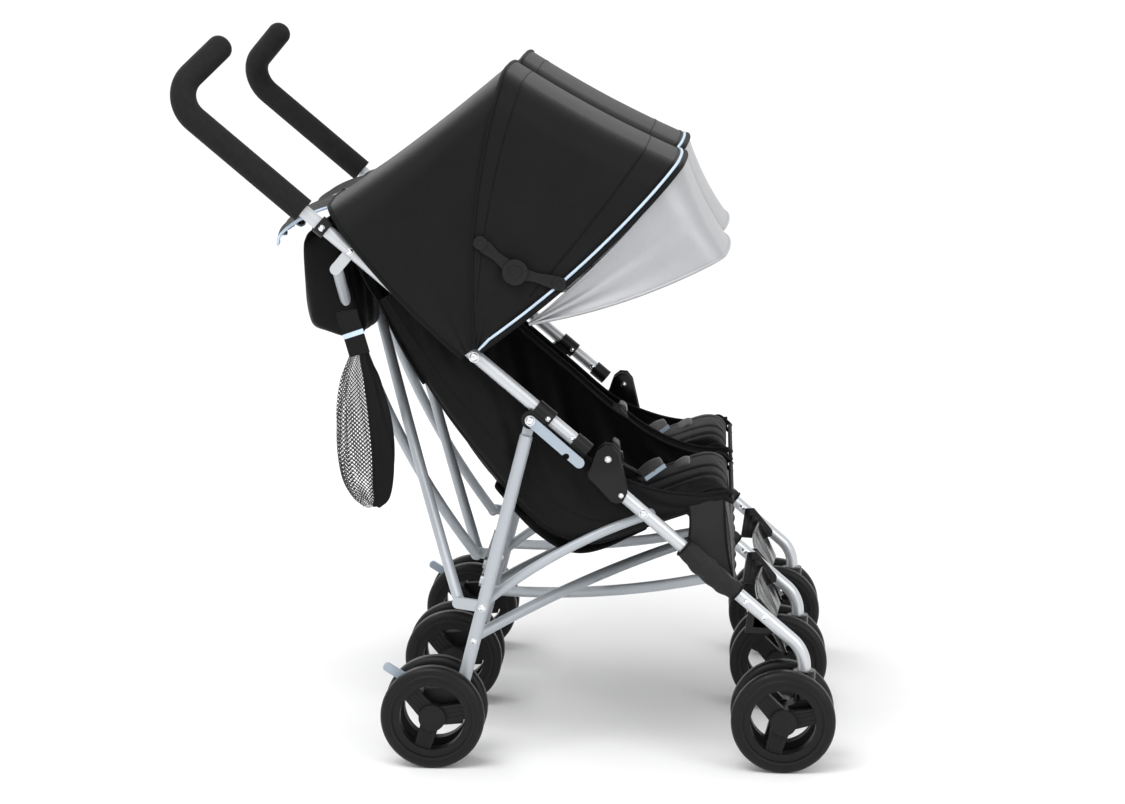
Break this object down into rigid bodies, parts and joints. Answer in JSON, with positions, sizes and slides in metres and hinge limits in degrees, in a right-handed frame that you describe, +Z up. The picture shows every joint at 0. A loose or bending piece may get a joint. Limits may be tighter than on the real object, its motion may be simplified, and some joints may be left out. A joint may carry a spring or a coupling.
{
  "type": "twin folding stroller",
  "caption": "Side-by-side folding stroller with side frames, crossing bars, sling seats, canopies, swivel front casters and braked rear wheels.",
  "frame": {"origin": "on the floor under the middle of the stroller's bounding box", "axes": "+X direction of travel, +Y to the stroller's left, +Z up"},
  "size_m": [0.9466, 0.768, 1.0433],
  "materials": {
    "frame_paint": "satin silver-grey",
    "bar_paint": "satin grey",
    "zinc": "bright zinc",
    "black_plastic": "satin moulded",
    "wheel_plastic": "satin moulded",
    "lever_paint": "bluish grey",
    "foam": "matte foam",
    "canopy_fabric": "woven polyester",
    "seat_fabric": "woven polyester, padded",
    "visor_fabric": "satin-coated",
    "mesh_fabric": "open mesh and binding",
    "panel_fabric": "coarse woven"
  },
  "bodies": {
    "centre_frame": {"centre_upper_tube": "frame_paint", "centre_upper_fittings": "black_plastic", "seat_backs": "seat_fabric", "canopy_rears": "canopy_fabric", "rear_pockets": "seat_fabric"},
    "right_frame": {"right_upper_tube": "frame_paint", "right_upper_fittings": "black_plastic", "right_grip": "foam", "mesh_bag": "mesh_fabric"},
    "left_frame": {"left_upper_tube": "frame_paint", "left_upper_fittings": "black_plastic", "left_grip": "foam"},
    "right_rear_leg": {"right_rear_leg": "frame_paint", "right_rear_housing": "black_plastic"},
    "right_front_leg": {"right_front_leg": "frame_paint", "right_front_fittings": "black_plastic"},
    "right_stay": {"right_stay": "frame_paint"},
    "right_caster": {"right_caster_fork": "black_plastic"},
    "right_front_wheels": {"right_front_wheels": "wheel_plastic"},
    "right_rear_wheels": {"right_rear_wheels": "wheel_plastic"},
    "right_brake_lever": {"right_brake_lever": "lever_paint"},
    "centre_rear_leg": {"centre_rear_leg": "frame_paint", "centre_rear_housing": "black_plastic"},
    "centre_front_leg": {"centre_front_leg": "frame_paint", "centre_front_fittings": "black_plastic", "calf_panels": "panel_fabric", "footrests": "black_plastic"},
    "centre_stay": {"centre_stay": "frame_paint"},
    "centre_caster": {"centre_caster_fork": "black_plastic"},
    "centre_front_wheels": {"centre_front_wheels": "wheel_plastic"},
    "centre_rear_wheels": {"centre_rear_wheels": "wheel_plastic"},
    "left_rear_leg": {"left_rear_leg": "frame_paint", "left_rear_housing": "black_plastic"},
    "left_front_leg": {"left_front_leg": "frame_paint", "left_front_fittings": "black_plastic"},
    "left_stay": {"left_stay": "frame_paint"},
    "left_caster": {"left_caster_fork": "black_plastic"},
    "left_front_wheels": {"left_front_wheels": "wheel_plastic"},
    "left_rear_wheels": {"left_rear_wheels": "wheel_plastic"},
    "left_brake_lever": {"left_brake_lever": "lever_paint"},
    "right_lower_bar_outer": {"right_lower_bar_outer": "bar_paint"},
    "right_rear_bar_outer": {"right_rear_bar_outer": "bar_paint"},
    "right_lower_bar_inner": {"right_lower_bar_inner": "bar_paint"},
    "right_rear_bar_inner": {"right_rear_bar_inner": "bar_paint"},
    "right_strut_right": {"right_strut_right": "zinc"},
    "right_strut_left": {"right_strut_left": "zinc"},
    "left_lower_bar_outer": {"left_lower_bar_outer": "bar_paint"},
    "left_rear_bar_outer": {"left_rear_bar_outer": "bar_paint"},
    "left_lower_bar_inner": {"left_lower_bar_inner": "bar_paint"},
    "left_rear_bar_inner": {"left_rear_bar_inner": "bar_paint"},
    "left_strut_right": {"left_strut_right": "zinc"},
    "left_strut_left": {"left_strut_left": "zinc"},
    "seat_pan": {"seat_pans": "seat_fabric", "harness_pads": "seat_fabric"},
    "right_canopy": {"right_canopy_front": "canopy_fabric"},
    "right_visor": {"right_canopy_visor": "visor_fabric"},
    "left_canopy": {"left_canopy_front": "canopy_fabric"},
    "left_visor": {"left_canopy_visor": "visor_fabric"},
    "transport_hook": {"transport_hook": "lever_paint"}
  },
  "joints": [
    {"name": "fold", "type": "hinge", "parent": "centre_frame", "child": "centre_rear_leg", "pos_m": [0.03536, 0, 0.50478], "axis": [0, -1, 0], "range_deg": [0, 57], "deforming": ["seat_backs", "seat_pans", "harness_pads", "calf_panels", "footrests", "rear_pockets", "canopy_rears", "right_canopy_front", "left_canopy_front", "right_canopy_visor", "left_canopy_visor"]},
    {"name": "right_frame_slide", "type": "slide", "parent": "centre_frame", "child": "right_frame", "axis": [0, 1, 0], "range_m": [0, 0.15501]},
    {"name": "left_frame_slide", "type": "slide", "parent": "centre_frame", "child": "left_frame", "axis": [0, -1, 0], "range_m": [0, 0.15501]},
    {"name": "right_rear_leg_fold", "type": "hinge", "parent": "right_frame", "child": "right_rear_leg", "pos_m": [0.03536, -0.34, 0.50478], "axis": [0, -1, 0], "range_deg": [0, 57.01]},
    {"name": "right_front_leg_fold", "type": "hinge", "parent": "right_frame", "child": "right_front_leg", "pos_m": [0.146, -0.34, 0.45], "axis": [0, -1, 0], "range_deg": [0, 153.23]},
    {"name": "right_stay_pivot", "type": "hinge", "parent": "right_rear_leg", "child": "right_stay", "pos_m": [-0.03429, -0.34, 0.23048], "axis": [0, -1, 0], "range_deg": [-0.05, 24.14]},
    {"name": "right_caster_swivel", "type": "hinge", "parent": "right_front_leg", "child": "right_caster", "pos_m": [0.428, -0.34, 0.103], "axis": [0, 0, 1], "continuous": true},
    {"name": "right_front_wheel_spin", "type": "hinge", "parent": "right_caster", "child": "right_front_wheels", "pos_m": [0.398, -0.34, 0.075], "axis": [0, 1, 0], "continuous": true},
    {"name": "right_rear_wheel_spin", "type": "hinge", "parent": "right_rear_leg", "child": "right_rear_wheels", "pos_m": [-0.105, -0.34, 0.075], "axis": [0, 1, 0], "continuous": true},
    {"name": "right_brake", "type": "hinge", "parent": "right_rear_leg", "child": "right_brake_lever", "pos_m": [-0.111, -0.34, 0.101], "axis": [0, -1, 0], "range_deg": [0, 22]},
    {"name": "centre_front_leg_fold", "type": "hinge", "parent": "centre_frame", "child": "centre_front_leg", "pos_m": [0.146, 0, 0.45], "axis": [0, -1, 0], "range_deg": [0, 153.23]},
    {"name": "centre_stay_pivot", "type": "hinge", "parent": "centre_rear_leg", "child": "centre_stay", "pos_m": [-0.03429, 0, 0.23048], "axis": [0, -1, 0], "range_deg": [-0.05, 24.14]},
    {"name": "centre_caster_swivel", "type": "hinge", "parent": "centre_front_leg", "child": "centre_caster", "pos_m": [0.428, 0, 0.103], "axis": [0, 0, 1], "continuous": true},
    {"name": "centre_front_wheel_spin", "type": "hinge", "parent": "centre_caster", "child": "centre_front_wheels", "pos_m": [0.398, 0, 0.075], "axis": [0, 1, 0], "continuous": true},
    {"name": "centre_rear_wheel_spin", "type": "hinge", "parent": "centre_rear_leg", "child": "centre_rear_wheels", "pos_m": [-0.105, 0, 0.075], "axis": [0, 1, 0], "continuous": true},
    {"name": "left_rear_leg_fold", "type": "hinge", "parent": "left_frame", "child": "left_rear_leg", "pos_m": [0.03536, 0.34, 0.50478], "axis": [0, -1, 0], "range_deg": [0, 57.01]},
    {"name": "left_front_leg_fold", "type": "hinge", "parent": "left_frame", "child": "left_front_leg", "pos_m": [0.146, 0.34, 0.45], "axis": [0, -1, 0], "range_deg": [0, 153.23]},
    {"name": "left_stay_pivot", "type": "hinge", "parent": "left_rear_leg", "child": "left_stay", "pos_m": [-0.03429, 0.34, 0.23048], "axis": [0, -1, 0], "range_deg": [-0.05, 24.14]},
    {"name": "left_caster_swivel", "type": "hinge", "parent": "left_front_leg", "child": "left_caster", "pos_m": [0.428, 0.34, 0.103], "axis": [0, 0, 1], "continuous": true},
    {"name": "left_front_wheel_spin", "type": "hinge", "parent": "left_caster", "child": "left_front_wheels", "pos_m": [0.398, 0.34, 0.075], "axis": [0, 1, 0], "continuous": true},
    {"name": "left_rear_wheel_spin", "type": "hinge", "parent": "left_rear_leg", "child": "left_rear_wheels", "pos_m": [-0.105, 0.34, 0.075], "axis": [0, 1, 0], "continuous": true},
    {"name": "left_brake", "type": "hinge", "parent": "left_rear_leg", "child": "left_brake_lever", "pos_m": [-0.111, 0.34, 0.101], "axis": [0, -1, 0], "range_deg": [0, 22]},
    {"name": "right_lower_bar_outer_pivot", "type": "hinge", "parent": "centre_front_leg", "child": "right_lower_bar_outer", "pos_m": [0.30656, -0.0211, 0.27592], "axis": [-0.0075, 0.9256, -0.3785], "range_deg": [0, 60.99]},
    {"name": "right_rear_bar_outer_pivot", "type": "hinge", "parent": "centre_frame", "child": "right_rear_bar_outer", "pos_m": [-0.24077, -0.0146, 0.71718], "axis": [0.5962, -0.7898, -0.1439], "range_deg": [0, 40.87]},
    {"name": "right_lower_bar_inner_pivot", "type": "hinge", "parent": "right_front_leg", "child": "right_lower_bar_inner", "pos_m": [0.30656, -0.3189, 0.27592], "axis": [0.0075, 0.9256, 0.3785], "range_deg": [0, 60.99]},
    {"name": "right_rear_bar_inner_pivot", "type": "hinge", "parent": "right_frame", "child": "right_rear_bar_inner", "pos_m": [-0.24077, -0.3254, 0.71718], "axis": [-0.5962, -0.7898, 0.1439], "range_deg": [0, 40.87]},
    {"name": "right_strut_right_pivot", "type": "hinge", "parent": "right_rear_leg", "child": "right_strut_right", "pos_m": [-0.03973, -0.3211, 0.26591], "axis": [0.9692, 0, -0.2461], "range_deg": [0, 63.94]},
    {"name": "right_strut_left_pivot", "type": "hinge", "parent": "centre_rear_leg", "child": "right_strut_left", "pos_m": [-0.03973, -0.0189, 0.26591], "axis": [-0.9692, 0, 0.2461], "range_deg": [0, 63.94]},
    {"name": "left_lower_bar_outer_pivot", "type": "hinge", "parent": "centre_front_leg", "child": "left_lower_bar_outer", "pos_m": [0.30656, 0.0211, 0.27592], "axis": [0.0075, 0.9256, 0.3785], "range_deg": [0, 60.99]},
    {"name": "left_rear_bar_outer_pivot", "type": "hinge", "parent": "centre_frame", "child": "left_rear_bar_outer", "pos_m": [-0.24077, 0.0146, 0.71718], "axis": [-0.5962, -0.7898, 0.1439], "range_deg": [0, 40.87]},
    {"name": "left_lower_bar_inner_pivot", "type": "hinge", "parent": "left_front_leg", "child": "left_lower_bar_inner", "pos_m": [0.30656, 0.3189, 0.27592], "axis": [-0.0075, 0.9256, -0.3785], "range_deg": [0, 60.99]},
    {"name": "left_rear_bar_inner_pivot", "type": "hinge", "parent": "left_frame", "child": "left_rear_bar_inner", "pos_m": [-0.24077, 0.3254, 0.71718], "axis": [0.5962, -0.7898, -0.1439], "range_deg": [0, 40.87]},
    {"name": "left_strut_right_pivot", "type": "hinge", "parent": "centre_rear_leg", "child": "left_strut_right", "pos_m": [-0.03973, 0.0189, 0.26591], "axis": [0.9692, 0, -0.2461], "range_deg": [0, 63.94]},
    {"name": "left_strut_left_pivot", "type": "hinge", "parent": "left_rear_leg", "child": "left_strut_left", "pos_m": [-0.03973, 0.3211, 0.26591], "axis": [-0.9692, 0, 0.2461], "range_deg": [0, 63.94]},
    {"name": "seat_pan_fold", "type": "hinge", "parent": "centre_frame", "child": "seat_pan", "pos_m": [0.07423, 0, 0.33616], "axis": [0, -1, 0], "range_deg": [0, 100.01]},
    {"name": "right_canopy_fold", "type": "hinge", "parent": "centre_frame", "child": "right_canopy", "pos_m": [-0.04392, -0.17, 0.59534], "axis": [0, -1, 0], "range_deg": [0, 40]},
    {"name": "right_visor_tuck", "type": "hinge", "parent": "right_canopy", "child": "right_visor", "pos_m": [-0.04392, -0.17, 0.59534], "axis": [0, -1, 0], "range_deg": [0, 18]},
    {"name": "left_canopy_fold", "type": "hinge", "parent": "centre_frame", "child": "left_canopy", "pos_m": [-0.04392, 0.17, 0.59534], "axis": [0, -1, 0], "range_deg": [0, 40]},
    {"name": "left_visor_tuck", "type": "hinge", "parent": "left_canopy", "child": "left_visor", "pos_m": [-0.04392, 0.17, 0.59534], "axis": [0, -1, 0], "range_deg": [0, 18]},
    {"name": "transport_hook_swing", "type": "hinge", "parent": "right_frame", "child": "transport_hook", "pos_m": [0.03536, -0.34, 0.50478], "axis": [0, -1, 0], "range_deg": [-35, 8]}
  ],
  "couplings": [
    {"joint": "right_frame_slide", "follows": "fold", "m_per_rad": 0.1558},
    {"joint": "left_frame_slide", "follows": "fold", "m_per_rad": 0.1558},
    {"joint": "right_rear_leg_fold", "follows": "fold", "ratio": 1},
    {"joint": "right_front_leg_fold", "follows": "fold", "ratio": 2.6874},
    {"joint": "right_stay_pivot", "follows": "fold", "ratio": 0.42258},
    {"joint": "centre_front_leg_fold", "follows": "fold", "ratio": 2.6874},
    {"joint": "centre_stay_pivot", "follows": "fold", "ratio": 0.42258},
    {"joint": "left_rear_leg_fold", "follows": "fold", "ratio": 1},
    {"joint": "left_front_leg_fold", "follows": "fold", "ratio": 2.6874},
    {"joint": "left_stay_pivot", "follows": "fold", "ratio": 0.42258},
    {"joint": "right_lower_bar_outer_pivot", "follows": "fold", "ratio": 1.0699},
    {"joint": "right_rear_bar_outer_pivot", "follows": "fold", "ratio": 0.71684},
    {"joint": "right_lower_bar_inner_pivot", "follows": "fold", "ratio": 1.0699},
    {"joint": "right_rear_bar_inner_pivot", "follows": "fold", "ratio": 0.71684},
    {"joint": "right_strut_right_pivot", "follows": "fold", "ratio": 1.1215},
    {"joint": "right_strut_left_pivot", "follows": "fold", "ratio": 1.1215},
    {"joint": "left_lower_bar_outer_pivot", "follows": "fold", "ratio": 1.0699},
    {"joint": "left_rear_bar_outer_pivot", "follows": "fold", "ratio": 0.71684},
    {"joint": "left_lower_bar_inner_pivot", "follows": "fold", "ratio": 1.0699},
    {"joint": "left_rear_bar_inner_pivot", "follows": "fold", "ratio": 0.71684},
    {"joint": "left_strut_right_pivot", "follows": "fold", "ratio": 1.1215},
    {"joint": "left_strut_left_pivot", "follows": "fold", "ratio": 1.1215},
    {"joint": "seat_pan_fold", "follows": "fold", "ratio": 1.7544}
  ]
}
